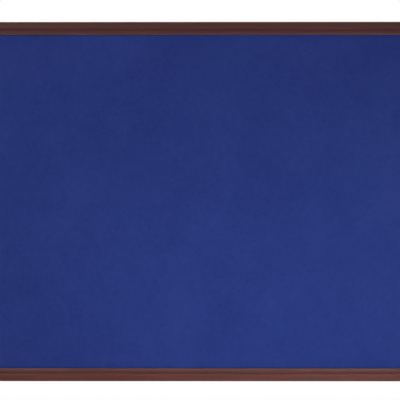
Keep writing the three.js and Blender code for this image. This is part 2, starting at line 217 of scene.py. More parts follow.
def mahoganyFoil():
    # Printed decor foil on moulding, satin lacquered: red-brown, with soft streaks and short dark pores
    # along it. The UV map is in metres, along the rail and then round its section.
    material, tree = newMaterial("mahogany foil")
    uv = addNode(tree, "ShaderNodeUVMap", {"uv_map": "grain"}).outputs["UV"]
    lie = {}
    for name in ("streaks", "pores"):
        across, along = foilLook[name]
        stretch = (1 / (along * mm), 1 / (across * mm), 1)
        lie[name] = addNode(tree, "ShaderNodeMapping", Vector=uv, Scale=stretch).outputs["Vector"]
    streak = addNode(tree, "ShaderNodeTexNoise", {"noise_dimensions": "2D"}, Vector=lie["streaks"], Scale=1,
                     Detail=4, Roughness=0.55, Distortion=0.3)
    pore = addNode(tree, "ShaderNodeTexNoise", {"noise_dimensions": "2D"}, Vector=lie["pores"], Scale=1,
                   Detail=2, Roughness=0.5)
    stops = [(0.2, foilLook["dark"]), (0.5, foilLook["mid"]), (0.8, foilLook["light"])]
    tone = addNode(tree, "ShaderNodeValToRGB", {"stops": stops}, Fac=streak.outputs["Fac"])
    poreMask = addNode(tree, "ShaderNodeMapRange", Value=pore.outputs["Fac"],
                       From_Min=0.62, From_Max=0.72, To_Min=0, To_Max=0.55)
    poreColour = addNode(tree, "ShaderNodeMix", {"data_type": "RGBA"}, Factor=poreMask.outputs["Result"],
                         A=tone.outputs["Color"], B=linear(foilLook["pore"]))
    # The attribute read next paints light and shade into the colour: its red darkens the top rail and the
    # quirk with painted shade and lightens the bottom rail with painted light; its green mixes in a pale
    # painted highlight on the edge bead and pale wear on the outer edge
    lightAndWearMap = addNode(tree, "ShaderNodeAttribute", {"attribute_name": "lightAndWear"})
    lightAndWearSplit = addNode(tree, "ShaderNodeSeparateColor", Color=lightAndWearMap.outputs["Color"])
    litAndShaded = addNode(tree, "ShaderNodeVectorMath", {"operation": "SCALE"}, Vector=poreColour.outputs["Result"],
                    Scale=lightAndWearSplit.outputs["Red"])
    patchy = addNode(tree, "ShaderNodeMath", {"operation": "MULTIPLY_ADD"},
                     _0=streak.outputs["Fac"], _1=foilLook["patchy"][0], _2=foilLook["patchy"][1])
    highlightAndWearShare = addNode(tree, "ShaderNodeMath", {"operation": "MULTIPLY"},
                          _0=patchy.outputs["Value"], _1=lightAndWearSplit.outputs["Green"])
    highlightAndWear = addNode(tree, "ShaderNodeMix", {"data_type": "RGBA"}, Factor=highlightAndWearShare.outputs["Value"],
                     A=litAndShaded.outputs["Vector"], B=linear(foilLook["highlightAndWear"]))
    rough = addNode(tree, "ShaderNodeMapRange", Value=streak.outputs["Fac"],
                    From_Min=0.2, From_Max=0.8, To_Min=0.42, To_Max=0.5)
    height = addNode(tree, "ShaderNodeMath", {"operation": "MULTIPLY"}, _0=poreMask.outputs["Result"], _1=-1)
    bump = addNode(tree, "ShaderNodeBump", Height=height.outputs["Value"], Strength=0.25, Distance=0.05 * mm)
    shader = addNode(tree, "ShaderNodeBsdfPrincipled", Base_Color=highlightAndWear.outputs["Result"],
                     Roughness=rough.outputs["Result"], IOR=1.5, Specular_IOR_Level=0.15,
                     Normal=bump.outputs["Normal"])
    addNode(tree, "ShaderNodeOutputMaterial", Surface=shader.outputs["BSDF"])
    return material


mdfLook = {"fleck": 1.6, "dark": "#94714a", "mid": "#ad8960", "light": "#bf9d74"}


def bareMdf():
    # Medium-density fibreboard where the foil leaves the moulding bare: tan, matt, with fine fibre flecks
    material, tree = newMaterial("bare mdf")
    coords = addNode(tree, "ShaderNodeTexCoord").outputs["Object"]
    fleck = addNode(tree, "ShaderNodeTexNoise", Vector=coords, Scale=1 / (mdfLook["fleck"] * mm), Detail=6,
                    Roughness=0.7)
    stops = [(0.3, mdfLook["dark"]), (0.55, mdfLook["mid"]), (0.75, mdfLook["light"])]
    tone = addNode(tree, "ShaderNodeValToRGB", {"stops": stops}, Fac=fleck.outputs["Fac"])
    bump = addNode(tree, "ShaderNodeBump", Height=fleck.outputs["Fac"], Strength=0.3, Distance=0.1 * mm)
    shader = addNode(tree, "ShaderNodeBsdfPrincipled", Base_Color=tone.outputs["Color"], Roughness=0.88,
                     Specular_IOR_Level=0.25, Normal=bump.outputs["Normal"])
    addNode(tree, "ShaderNodeOutputMaterial", Surface=shader.outputs["BSDF"])
    return material


feltLook = {
    "dark": "#142364", "mid": "#1b2b6c", "light": "#233274", "fibre": "#4a5c9c", "bloom": "#8f9dc8",
    "uneven": [(1.4, 1.2, 5), (9, 0.95, 3), (45, 0.5, 4), (300, 0.8, 2)],  # size, weight, detail
    "spread": 0.45,  # of the summed noise, from its middle to the darkest and lightest tone
    "fibreWidth": 0.55, "fibreLength": 6, "fibreDepth": 3, "fibreTurns": (12, 58, 101, 149),
    "fibreLine": 0.035, "fibreShare": 0.16, "fibreRise": 0.35,
}


def blueFelt():
    # Needled felt: no weave, short fibres lying every way, a soft bloom at grazing angles and no gloss.
    # A fibre is 0.03 mm across, so the ones that show are drawn several times as coarse.
    material, tree = newMaterial("blue felt")
    coords = addNode(tree, "ShaderNodeTexCoord").outputs["Object"]

    tufts = []  # uneven density, from single tufts to broad drifts of the nap
    total = 0.0
    for size, weight, detail in feltLook["uneven"]:
        tuft = addNode(tree, "ShaderNodeTexNoise", Vector=coords, Scale=1 / (size * mm), Detail=detail,
                       Roughness=0.65, Distortion=0.6)
        tufts.append(tuft.outputs["Fac"])
        total = addNode(tree, "ShaderNodeMath", {"operation": "MULTIPLY_ADD"}, _0=tufts[-1], _1=weight,
                        _2=total).outputs["Value"]
    middle = sum(weight for _, weight, _ in feltLook["uneven"]) / 2
    density = addNode(tree, "ShaderNodeMapRange", Value=total, From_Min=middle - feltLook["spread"],
                      From_Max=middle + feltLook["spread"])
    stops = [(0.1, feltLook["dark"]), (0.5, feltLook["mid"]), (0.9, feltLook["light"])]
    tone = addNode(tree, "ShaderNodeValToRGB", {"stops": stops}, Fac=density.outputs["Result"])

    fibres = 0.0  # long thin crossings of stretched noise, lying in a few directions
    stretch = [feltLook[name] * mm for name in ("fibreWidth", "fibreDepth", "fibreLength")]
    for turn in feltLook["fibreTurns"]:
        lie = addNode(tree, "ShaderNodeMapping", {"vector_type": "TEXTURE"}, Vector=coords,
                      Rotation=(0, math.radians(turn), 0), Scale=stretch)
        strand = addNode(tree, "ShaderNodeTexNoise", Vector=lie.outputs["Vector"], Scale=1, Detail=1,
                         Distortion=0.5)
        offLine = addNode(tree, "ShaderNodeMath", {"operation": "SUBTRACT"}, _0=strand.outputs["Fac"], _1=0.5)
        away = addNode(tree, "ShaderNodeMath", {"operation": "ABSOLUTE"}, _0=offLine.outputs["Value"])
        ridge = addNode(tree, "ShaderNodeMapRange", Value=away.outputs["Value"], From_Min=0,
                        From_Max=feltLook["fibreLine"], To_Min=1, To_Max=0)
        fibres = addNode(tree, "ShaderNodeMath", {"operation": "MAXIMUM"}, _0=fibres,
                         _1=ridge.outputs["Result"]).outputs["Value"]
    share = addNode(tree, "ShaderNodeMath", {"operation": "MULTIPLY"}, _0=fibres, _1=feltLook["fibreShare"])
    colour = addNode(tree, "ShaderNodeMix", {"data_type": "RGBA"}, Factor=share.outputs["Value"],
                     A=tone.outputs["Color"], B=linear(feltLook["fibre"]))
    height = addNode(tree, "ShaderNodeMath", {"operation": "MULTIPLY_ADD"}, _0=fibres,
                     _1=feltLook["fibreRise"], _2=tufts[0])
    bump = addNode(tree, "ShaderNodeBump", Height=height.outputs["Value"], Strength=0.6, Distance=0.25 * mm)
    shader = addNode(tree, "ShaderNodeBsdfPrincipled", Base_Color=colour.outputs["Result"], Roughness=0.96,
                     Specular_IOR_Level=0.12, Sheen_Weight=0.25, Sheen_Roughness=0.55,
                     Sheen_Tint=linear(feltLook["bloom"]), Normal=bump.outputs["Normal"])
    addNode(tree, "ShaderNodeOutputMaterial", Surface=shader.outputs["BSDF"])
    return material


softboardLook = {"fibre": 3, "dark": "#9c8058", "mid": "#bda27a", "light": "#d0b98f"}


def softboard():
    # Pressed soft fibreboard, the pinning core: pale straw, coarse and open
    material, tree = newMaterial("softboard")
    coords = addNode(tree, "ShaderNodeTexCoord").outputs["Object"]
    fibre = addNode(tree, "ShaderNodeTexNoise", Vector=coords, Scale=1 / (softboardLook["fibre"] * mm),
                    Detail=6, Roughness=0.75, Distortion=0.8)
    stops = [(0.3, softboardLook["dark"]), (0.6, softboardLook["mid"]), (0.8, softboardLook["light"])]
    tone = addNode(tree, "ShaderNodeValToRGB", {"stops": stops}, Fac=fibre.outputs["Fac"])
    bump = addNode(tree, "ShaderNodeBump", Height=fibre.outputs["Fac"], Strength=0.6, Distance=0.4 * mm)
    shader = addNode(tree, "ShaderNodeBsdfPrincipled", Base_Color=tone.outputs["Color"], Roughness=0.95,
                     Specular_IOR_Level=0.2, Normal=bump.outputs["Normal"])
    addNode(tree, "ShaderNodeOutputMaterial", Surface=shader.outputs["BSDF"])
    return material


hardboardLook = {
    "dark": "#5a3d26", "mid": "#74512f", "light": "#86613c", "screen": 3.0, "fibre": 2.2, "blotch": 90,
    "blotchShare": 0.35, "screenShare": 0.05, "screenRise": 0.5,  # against the fibres
}


def hardboard():
    # Wet-pressed hardboard with its rough side out: brown, the weave of the press screen all over it.
    # The screen's wires are about 1 mm apart, so they are drawn at 3 mm, to show from a step away.
    material, tree = newMaterial("hardboard")
    coords = addNode(tree, "ShaderNodeTexCoord").outputs["Object"]
    split = addNode(tree, "ShaderNodeSeparateXYZ", Vector=coords)
    waves = []
    for axis in ("X", "Z"):
        turned = addNode(tree, "ShaderNodeMath", {"operation": "MULTIPLY"}, _0=split.outputs[axis],
                         _1=2 * math.pi / (hardboardLook["screen"] * mm))
        waves.append(addNode(tree, "ShaderNodeMath", {"operation": "SINE"}, _0=turned.outputs["Value"]))
    weave = addNode(tree, "ShaderNodeMath", {"operation": "MULTIPLY"},
                    _0=waves[0].outputs["Value"], _1=waves[1].outputs["Value"])
    fibre = addNode(tree, "ShaderNodeTexNoise", Vector=coords, Scale=1 / (hardboardLook["fibre"] * mm),
                    Detail=6, Roughness=0.7)
    blotch = addNode(tree, "ShaderNodeTexNoise", Vector=coords, Scale=1 / (hardboardLook["blotch"] * mm),
                     Detail=3, Roughness=0.55)
    mixed = addNode(tree, "ShaderNodeMath", {"operation": "MULTIPLY_ADD"},
                    _0=blotch.outputs["Fac"], _1=hardboardLook["blotchShare"], _2=fibre.outputs["Fac"])
    shaded = addNode(tree, "ShaderNodeMath", {"operation": "MULTIPLY_ADD"},
                     _0=weave.outputs["Value"], _1=hardboardLook["screenShare"], _2=mixed.outputs["Value"])
    stops = [(0.38, hardboardLook["dark"]), (0.67, hardboardLook["mid"]), (0.9, hardboardLook["light"])]
    tone = addNode(tree, "ShaderNodeValToRGB", {"stops": stops}, Fac=shaded.outputs["Value"])
    relief = addNode(tree, "ShaderNodeMath", {"operation": "MULTIPLY_ADD"},
                     _0=weave.outputs["Value"], _1=hardboardLook["screenRise"], _2=fibre.outputs["Fac"])
    bump = addNode(tree, "ShaderNodeBump", Height=relief.outputs["Value"], Strength=0.6, Distance=0.25 * mm)
    shader = addNode(tree, "ShaderNodeBsdfPrincipled", Base_Color=tone.outputs["Color"], Roughness=0.8,
                     Specular_IOR_Level=0.3, Normal=bump.outputs["Normal"])
    addNode(tree, "ShaderNodeOutputMaterial", Surface=shader.outputs["BSDF"])
    return material


zincLook = {"cloud": 4, "dark": "#a9adb4", "light": "#c9ccd1"}


def zincPlate():
    # Bright zinc-plated steel, pressed and barrel-plated: pale bluish grey, a little cloudy, finely scuffed
    material, tree = newMaterial("zinc plate")
    coords = addNode(tree, "ShaderNodeTexCoord").outputs["Object"]
    cloud = addNode(tree, "ShaderNodeTexNoise", Vector=coords, Scale=1 / (zincLook["cloud"] * mm), Detail=4,
                    Roughness=0.6)
    stops = [(0.3, zincLook["dark"]), (0.7, zincLook["light"])]
    tone = addNode(tree, "ShaderNodeValToRGB", {"stops": stops}, Fac=cloud.outputs["Fac"])
    rough = addNode(tree, "ShaderNodeMapRange", Value=cloud.outputs["Fac"],
                    From_Min=0.3, From_Max=0.7, To_Min=0.26, To_Max=0.4)
    shader = addNode(tree, "ShaderNodeBsdfPrincipled", Base_Color=tone.outputs["Color"], Metallic=1,
                     Roughness=rough.outputs["Result"])
    addNode(tree, "ShaderNodeOutputMaterial", Surface=shader.outputs["BSDF"])
    return material


bluedLook = {"cloud": 3, "dark": "#35373c", "light": "#4a4d54"}


def bluedSteel():
    # Blued spring steel, die-cut: nearly black, with a dull oily gloss
    material, tree = newMaterial("blued steel")
    coords = addNode(tree, "ShaderNodeTexCoord").outputs["Object"]
    cloud = addNode(tree, "ShaderNodeTexNoise", Vector=coords, Scale=1 / (bluedLook["cloud"] * mm), Detail=3,
                    Roughness=0.6)
    stops = [(0.3, bluedLook["dark"]), (0.7, bluedLook["light"])]
    tone = addNode(tree, "ShaderNodeValToRGB", {"stops": stops}, Fac=cloud.outputs["Fac"])
    shader = addNode(tree, "ShaderNodeBsdfPrincipled", Base_Color=tone.outputs["Color"], Metallic=1,
                     Roughness=0.42)
    addNode(tree, "ShaderNodeOutputMaterial", Surface=shader.outputs["BSDF"])
    return material


rubberLook = {"bloom": 2.5, "dark": "#18191a", "light": "#292a2b"}


def blackRubber():
    # Moulded black rubber: matt, with a faint grey bloom
    material, tree = newMaterial("black rubber")
    coords = addNode(tree, "ShaderNodeTexCoord").outputs["Object"]
    bloom = addNode(tree, "ShaderNodeTexNoise", Vector=coords, Scale=1 / (rubberLook["bloom"] * mm), Detail=4,
                    Roughness=0.6)
    stops = [(0.35, rubberLook["dark"]), (0.75, rubberLook["light"])]
    tone = addNode(tree, "ShaderNodeValToRGB", {"stops": stops}, Fac=bloom.outputs["Fac"])
    bump = addNode(tree, "ShaderNodeBump", Height=bloom.outputs["Fac"], Strength=0.2, Distance=0.1 * mm)
    shader = addNode(tree, "ShaderNodeBsdfPrincipled", Base_Color=tone.outputs["Color"], Roughness=0.72,
                     Specular_IOR_Level=0.4, Normal=bump.outputs["Normal"])
    addNode(tree, "ShaderNodeOutputMaterial", Surface=shader.outputs["BSDF"])
    return material


foil = mahoganyFoil()
mdf = bareMdf()
felt = blueFelt()
zinc = zincPlate()
blued = bluedSteel()
rubber = blackRubber()
print("materials made")


# Frame: four lengths of foil-wrapped moulding, mitred and V-nailed

moulding = {  # mm; across from the outer edge, and up from the back
    "width": 32, "depth": 24, "rebateWidth": 9, "rebateDepth": 17, "backEase": 0.8,
    "outerRadius": 4, "faceRadius": 55, "noseRadius": 9.5, "noseDegrees": 45, "quirkWidth": 0.5,
    "bandRadius": 9.5, "bandDrop": 1.5, "valleyDrop": 2.1, "edgeBeadRadius": 1.7, "edgeBeadDrop": 1.6,
    "foilOnBack": 6, "foilInRebate": 5, "mitreGap": 0.12, "smoothDegrees": 25,
    "steps": {"edgeBead": 12, "band": 12, "nose": 14, "face": 8, "outer": 12},
}
backWidth = moulding["width"] - moulding["rebateWidth"]
# The edge bead carries a pale painted highlight and the outer edge pale wear, each from a start to a full
# place and by a share, and painted shade darkens the quirk. Places are mm across.
lightAndWear = {"highlightAndWear": [(29.6, 30.6, 0.25), (4.5, 1.5, 0.12)], "quirk": 20.8, "quirkReach": 2.0, "quirkShade": 0.05}
nail = {"thickness": 0.7, "wing": 5, "height": 10, "sink": 0.4, "halfDegrees": 52, "slack": 0.06,
        "punchOver": 1, "insetShares": {"outer": 1 / 3, "inner": 2 / 3}}
sides = {  # length, turn about Y, place of the outer back edge, shift of the grain, tone: painted shade on the top rail, painted light on the bottom one
    "frame_rail_bottom": (2 * halfWidth, 0, (0, frameBack, -halfHeight), 0.0, 1.13),
    "frame_rail_top": (2 * halfWidth, math.pi, (0, frameBack, halfHeight), 3.1, 0.83),
    "frame_stile_left": (2 * halfHeight, math.pi / 2, (-halfWidth, frameBack, 0), 6.4, 1.0),
    "frame_stile_right": (2 * halfHeight, -math.pi / 2, (halfWidth, frameBack, 0), 9.7, 1.0),
}
corners = {"top_left": (-1, 1), "top_right": (1, 1), "bottom_left": (-1, -1), "bottom_right": (1, -1)}


def mouldingSection(bm, x):
    # The section as a closed chain of edges: across is +Z and the face is towards -Y
    m = moulding
    steps = m["steps"]

    def at(across, up):
        return Vector((x, -up * mm, across * mm))

    # The edge bead and the band meet in a valley
    valleyUp = m["depth"] - m["valleyDrop"]
    edgeUp = m["depth"] - m["edgeBeadDrop"] - m["edgeBeadRadius"]
    edgeFoot = math.asin((valleyUp - edgeUp) / m["edgeBeadRadius"])
    bandUp = m["depth"] - m["bandDrop"] - m["bandRadius"]
    bandFoot = math.asin((valleyUp - bandUp) / m["bandRadius"])
    bandAcross = (m["width"] - m["edgeBeadRadius"] * (1 + math.cos(edgeFoot))
                  - m["bandRadius"] * math.cos(bandFoot))
    # The band and the nose of the face fall into the quirk
    noseSweep = math.radians(m["noseDegrees"])
    quirkUp = m["depth"] - m["noseRadius"] * (1 - math.cos(noseSweep))
    quirkFoot = math.asin((quirkUp - bandUp) / m["bandRadius"])
    quirkAcross = bandAcross - m["bandRadius"] * math.cos(quirkFoot) - m["quirkWidth"]
    noseAcross = quirkAcross - m["noseRadius"] * math.sin(noseSweep)
    faceSweep = math.asin((noseAcross - m["outerRadius"]) / (m["faceRadius"] - m["outerRadius"]))
    faceUp = m["depth"] - m["faceRadius"]
    roundUp = faceUp + (m["faceRadius"] - m["outerRadius"]) * math.cos(faceSweep)

    first = bm.verts.new(at(m["backEase"], 0))
    vert = lineOn(bm, first, at(m["foilOnBack"], 0))
    vert = lineOn(bm, vert, at(backWidth, 0))
    vert = lineOn(bm, vert, at(backWidth, m["rebateDepth"]))
    vert = lineOn(bm, vert, at(m["width"] - m["foilInRebate"], m["rebateDepth"]))
    vert = lineOn(bm, vert, at(m["width"], m["rebateDepth"]))
    vert = lineOn(bm, vert, at(m["width"], edgeUp))
    edgeTurn = 180 - math.degrees(edgeFoot)
    bandTurn = 180 - math.degrees(bandFoot + quirkFoot)
    faceTurn = math.degrees(faceSweep)
    vert = arcOn(bm, vert, at(m["width"] - m["edgeBeadRadius"], edgeUp), edgeTurn, steps["edgeBead"])
    vert = arcOn(bm, vert, at(bandAcross, bandUp), bandTurn, steps["band"])
    vert = lineOn(bm, vert, at(quirkAcross, quirkUp))
    vert = arcOn(bm, vert, at(noseAcross, m["depth"] - m["noseRadius"]), m["noseDegrees"], steps["nose"])
    vert = arcOn(bm, vert, at(noseAcross, faceUp), faceTurn, steps["face"])
    vert = arcOn(bm, vert, at(m["outerRadius"], roundUp), 90 - faceTurn, steps["outer"])
    vert = lineOn(bm, vert, at(0, m["backEase"]))
    bm.edges.new((vert, first))


def makeFrameSide(name, length, turn, place, grainShift, tone):
    bm = bmesh.new()
    mouldingSection(bm, -length / 2)
    run = bm.verts.layers.float.new("run")  # how far round the section a vertex lies
    chain = bm.verts[:]
    for before, after in zip(chain, chain[1:]):
        after[run] = before[run] + (after.co - before.co).length
    girth = chain[-1][run] + (chain[0].co - chain[-1].co).length
    growEdges(bm, bm.edges[:], (length, 0, 0))

    for end in (-1, 1):
        outward = Vector((end, 0, 1)).normalized()
        mitre = Vector((end * length / 2, 0, 0)) - outward * (moulding["mitreGap"] * mm / 2)
        cut = bmesh.ops.bisect_plane(bm, geom=bm.verts[:] + bm.edges[:] + bm.faces[:], dist=touch,
                                     plane_co=mitre, plane_no=outward, clear_outer=True)["geom_cut"]
        for face in bmesh.ops.edgeloop_fill(bm, edges=edgesOf(cut))["faces"]:
            face.material_index = 1

    lip = -moulding["rebateDepth"] * mm
    foilEnd = (moulding["width"] - moulding["foilInRebate"]) * mm
    grain = bm.loops.layers.uv.new("grain")
    lightAndWearLayer = bm.loops.layers.float_color.new("lightAndWear")  # red is painted light and shade, green the share of the painted highlight and the wear
    for face in bm.faces:
        middle = face.calc_center_median()
        onBack = middle.y > -near and middle.z > moulding["foilOnBack"] * mm
        inRebate = middle.z > backWidth * mm - near and middle.y > lip + near
        underLip = abs(middle.y - lip) < near and middle.z < foilEnd
        atEnd = abs(face.normal.x) >= 0.1
        if not atEnd and (onBack or inRebate or underLip):
            face.material_index = 1
        runs = [loop.vert[run] for loop in face.loops]
        for loop in face.loops:
            around = loop.vert[run]
            if max(runs) - min(runs) > girth / 2 and around < girth / 2:
                around += girth
            loop[grain].uv = (loop.vert.co.x + grainShift, around)
            across = loop.vert.co.z / mm
            # A pale painted highlight on the edge bead, and wear on the outer edge
            highlightAndWear = [amount * min(max((across - start) / (full - start), 0), 1)
                      for start, full, amount in lightAndWear["highlightAndWear"]]
            # Painted shade in the quirk
            quirkShade = lightAndWear["quirkShade"] * max(1 - abs(across - lightAndWear["quirk"]) / lightAndWear["quirkReach"], 0)
            # Red: the rail's tone, painted shade on the top rail and painted light on the bottom one, times
            # the quirk's painted shade
            loop[lightAndWearLayer] = (tone * (1 - quirkShade), max(highlightAndWear), 0, 1)
    bm.transform(Matrix.Translation(place) @ Matrix.Rotation(turn, 4, "Y"))
    return makePiece(name.replace("frame_", "moulding_"), bm, [foil, mdf], "board", name,
                     moulding["smoothDegrees"])


def nailSheet(thickness, wing, top, bottom):
    # A V-nail: a strip bent along its middle, apex at the origin pointing along +X, driven in along -Y
    half = math.radians(nail["halfDegrees"])
    bm = bmesh.new()
    reach = Vector((-math.cos(half), 0, math.sin(half))) * (wing * mm)
    start = bm.verts.new((reach.x, top * mm, reach.z))
    vert = lineOn(bm, start, (0, top * mm, 0))
    lineOn(bm, vert, (reach.x, top * mm, -reach.z))
    growEdges(bm, bm.edges[:], (0, (bottom - top) * mm, 0))
    bmesh.ops.recalc_face_normals(bm, faces=bm.faces[:])
    bmesh.ops.solidify(bm, geom=bm.faces[:], thickness=thickness * mm)
    bmesh.ops.recalc_face_normals(bm, faces=bm.faces[:])
    apex = max(vert.co.x for vert in bm.verts)
    bmesh.ops.translate(bm, verts=bm.verts[:], vec=(-apex, 0, 0))
    return bm


def nailPlace(right, top, which):
    # right and top are -1 or 1, and say which corner
    inset = nail["insetShares"][which] * backWidth * mm
    spot = Vector((right * (halfWidth - inset), frameBack, top * (halfHeight - inset)))
    return Matrix.Translation(spot) @ Matrix.Rotation(math.atan2(top, -right), 4, "Y")


def sinkNails(rails):
    # Each V-nail lies a little below the back, in the V that it punched
    punches = bmesh.new()
    for signs in corners.values():
        for which in nail["insetShares"]:
            punch = nailSheet(nail["thickness"] + 2 * nail["slack"], nail["wing"] + nail["slack"],
                              nail["punchOver"], -nail["sink"])
            punch.transform(nailPlace(*signs, which))
            mesh = bpy.data.meshes.new("punch")
            punch.to_mesh(mesh)
            punch.free()
            punches.from_mesh(mesh)
            bpy.data.meshes.remove(mesh)
    for face in punches.faces:
        face.material_index = 1
    cutAway(rails, punches, [foil, mdf], smoothAngle=moulding["smoothDegrees"])


sinkNails([makeFrameSide(name, *values) for name, values in sides.items()])
for corner, signs in corners.items():
    for which in nail["insetShares"]:
        sheet = nailSheet(nail["thickness"], nail["wing"], -nail["sink"], -nail["sink"] - nail["height"])
        sheet.transform(nailPlace(*signs, which))
        makePiece(f"staple_v_{corner}_{which}", sheet, [zinc], "board",
                  f"v_nail_{corner}_{which}")
print("frame made")


# Panel: felt on softboard on hardboard

facing = {  # mm
    "squeeze": 0.5, "ramp": 3, "gridStep": 12, "waveHeight": 0.09, "waveLength": 85, "edgeFade": 25,
    "rampCuts": (0.5, 0.2, 0, -0.2, -0.5, -0.8, -1),  # shares of the ramp, out from the sight edge
    "smoothDegrees": 50,
}


def makeFelt():
    # One sheet of felt: pressed thin under the frame's lip, full in the opening, with the faint
    # unevenness that a glued sheet has
    f = facing
    bm = bmesh.new()
    bmesh.ops.create_grid(bm, x_segments=1, y_segments=1, size=1)
    bmesh.ops.scale(bm, vec=(feltHigh.x, feltHigh.z, 1), verts=bm.verts[:])
    bmesh.ops.rotate(bm, cent=(0, 0, 0), matrix=Matrix.Rotation(math.pi / 2, 3, "X"), verts=bm.verts[:])
    sightX = halfWidth - moulding["width"] * mm
    sightZ = halfHeight - moulding["width"] * mm
    for normal, reach in ((Vector((1, 0, 0)), sightX), (Vector((0, 0, 1)), sightZ)):
        columns = int(reach / (f["gridStep"] * mm))
        cuts = [sign * (reach + share * f["ramp"] * mm) for sign in (-1, 1) for share in f["rampCuts"]]
        cuts += [i * f["gridStep"] * mm for i in range(1 - columns, columns)]
        for cutAt in cuts:
            bmesh.ops.bisect_plane(bm, geom=bm.verts[:] + bm.edges[:] + bm.faces[:], dist=touch,
                                   plane_co=normal * cutAt, plane_no=normal)
    front = bm.verts[:]
    back = vertsOf(bmesh.ops.extrude_face_region(bm, geom=bm.faces[:])["geom"])
    for vert in front:
        inside = min(sightX - abs(vert.co.x), sightZ - abs(vert.co.z))
        swell = min(max(inside / (f["ramp"] * mm), 0), 1)
        swell = swell * swell * (3 - 2 * swell)
        fade = min(max(inside / (f["edgeFade"] * mm), 0), 1)
        wave = (1 + noise.noise(vert.co / (f["waveLength"] * mm))) * f["waveHeight"] * mm
        vert.co.y = feltLow.y + (1 - swell) * f["squeeze"] * mm + wave * fade
    for vert in back:
        vert.co.y = feltHigh.y
    piece = makePiece("felt_sheet", bm, [felt], "board", "felt_facing", f["smoothDegrees"])


def dressNode(name, material):
    mesh = frame["nodes"][name].data
    mesh.materials.clear()
    mesh.materials.append(material)


makeFelt()
dressNode("softboard_core", softboard())
dressNode("hardboard_back", hardboard())
print("panel made")


# Retaining points: flat die-cut blades driven into the rebate behind the panel

for name in frame["nodes"]:
    if name.startswith("retaining_point"):
        dressNode(name, blued)
print("points made")


# Strap hangers and their rings

strap = {  # mm
    "width": 12, "thickness": 1, "length": 36, "frontShort": 0.8, "foldGap": 0.2, "seatGap": 0.3,
    "eyeRadius": 1.4, "neckRadius": 2, "edge": 0.15, "columns": 12, "eyeSteps": 26, "neckSteps": 8,
    # The drill's outline from its axis and back to it, as radius and height over the strap's face
    "hole": [(0, -4), (1.9, -4), (1.9, -1.85), (4.45, 0.9), (0, 0.9)], "holeSides": 32,
    "screws": {"upper": (8.4, 0.3), "lower": (27, 1.1)},  # drop from the eye, turn of the cross in radians
}
strapFace = strap["seatGap"] + 2 * strap["thickness"] + strap["foldGap"]  # out from the frame's back
eyeOut = strap["seatGap"] + strap["thickness"] + strap["eyeRadius"]
ring = {"wire": 2.2, "barHalf": 7, "corner": 3, "seam": 0.04, "sides": 16, "cornerSteps": 8, "bowSteps": 36}
screw = {  # mm
    "length": 16, "shank": 1.7, "core": 1.25, "head": 3.3, "land": 0.2, "tip": 4, "neck": 4.2,
    "neckCone": 0.5, "sides": 28,
    "pitch": 1.3, "crest": 1.66, "rootSink": 0.1, "ridgeHalf": 0.35, "threadTop": 5.1, "threadLow": 11.6,
    "threadSteps": 16, "threadTurn": 0.06,  # radians, which keeps the thread's ends off the core's edges
    "recessSpan": 3.7, "recessWidth": 0.95, "recessDepth": 1.5, "recessTaper": (0.45, 0.6),
}


def holePlace(eye, drop):
    # The middle of a screw hole on the strap's face, with Z out of it
    spot = (eye.x, frameBack + strapFace * mm, eye.z - drop * mm)
    return Matrix.Translation(spot) @ Matrix.Rotation(-math.pi / 2, 4, "X")


def roundEnd(bm, end):
    # Brings a leg's straight end to a half circle
    half = strap["width"] / 2 * mm
    for vert in bm.verts:
        if abs(vert.co.z - end) < touch:
            vert.co.z += half - math.sqrt(max(half * half - vert.co.x * vert.co.x, 0))


def makeStrap(side, eye):
    # The strip's middle surface, seen from its side, runs from the leg on the frame round the eye to the
    # outer leg. y is out from the frame's back and z is up from the eye.
    s = strap
    half = s["thickness"] / 2
    middle = s["eyeRadius"] + half
    frontOut = strapFace - half
    neck = math.acos(1 - (eyeOut + middle - frontOut) / (middle + s["neckRadius"]))
    neckUp = -(middle + s["neckRadius"]) * math.sin(neck)

    def at(out, up):
        return Vector((-s["width"] / 2 * mm, out * mm, up * mm))

    bm = bmesh.new()
    vert = bm.verts.new(at(s["seatGap"] + half, -s["length"]))
    vert = lineOn(bm, vert, at(s["seatGap"] + half, s["width"] - s["length"]))
    vert = lineOn(bm, vert, at(s["seatGap"] + half, 0))
    vert = arcOn(bm, vert, at(eyeOut, 0), -180 - math.degrees(neck), s["eyeSteps"])
    vert = arcOn(bm, vert, at(frontOut + s["neckRadius"], neckUp), math.degrees(neck), s["neckSteps"])
    vert = lineOn(bm, vert, at(frontOut, s["width"] - s["length"] + s["frontShort"]))
    lineOn(bm, vert, at(frontOut, s["frontShort"] - s["length"]))
    row = bm.edges[:]
    for column in range(s["columns"]):
        # Narrower towards both sides, so that the rounded end is drawn in even steps
        before, after = [math.cos(math.pi * (column + i) / s["columns"]) for i in (0, 1)]
        row = growEdges(bm, row, ((before - after) * s["width"] / 2 * mm, 0, 0))
    roundEnd(bm, -s["length"] * mm)
    roundEnd(bm, (s["frontShort"] - s["length"]) * mm)
    bm.transform(Matrix.Translation((eye.x, frameBack, eye.z)))
    piece = makePiece(f"strap_{side}", bm, [zinc], "board", f"hanger_strap_{side}")

    thick = piece.modifiers.new("thickness", "SOLIDIFY")
    thick.thickness = s["thickness"] * mm
    thick.offset = 0
    thick.use_even_offset = True
    # Softened before the holes are cut, because their short edges would hold the bevel back
    soften = piece.modifiers.new("edges", "BEVEL")
    soften.width = s["edge"] * mm
    soften.segments = 2
    soften.limit_method = "ANGLE"
    soften.angle_limit = math.radians(50)
    for drop, _ in s["screws"].values():
        drill = bmesh.new()
        lathe(drill, s["hole"], s["holeSides"])
        # Turned by half a side, which keeps its corners off the strip's own edges
        halfSide = Matrix.Rotation(math.pi / s["holeSides"], 4, "Z")
        drill.transform(holePlace(eye, drop) @ halfSide)
        cutAway([piece], drill, smoothAngle=40)


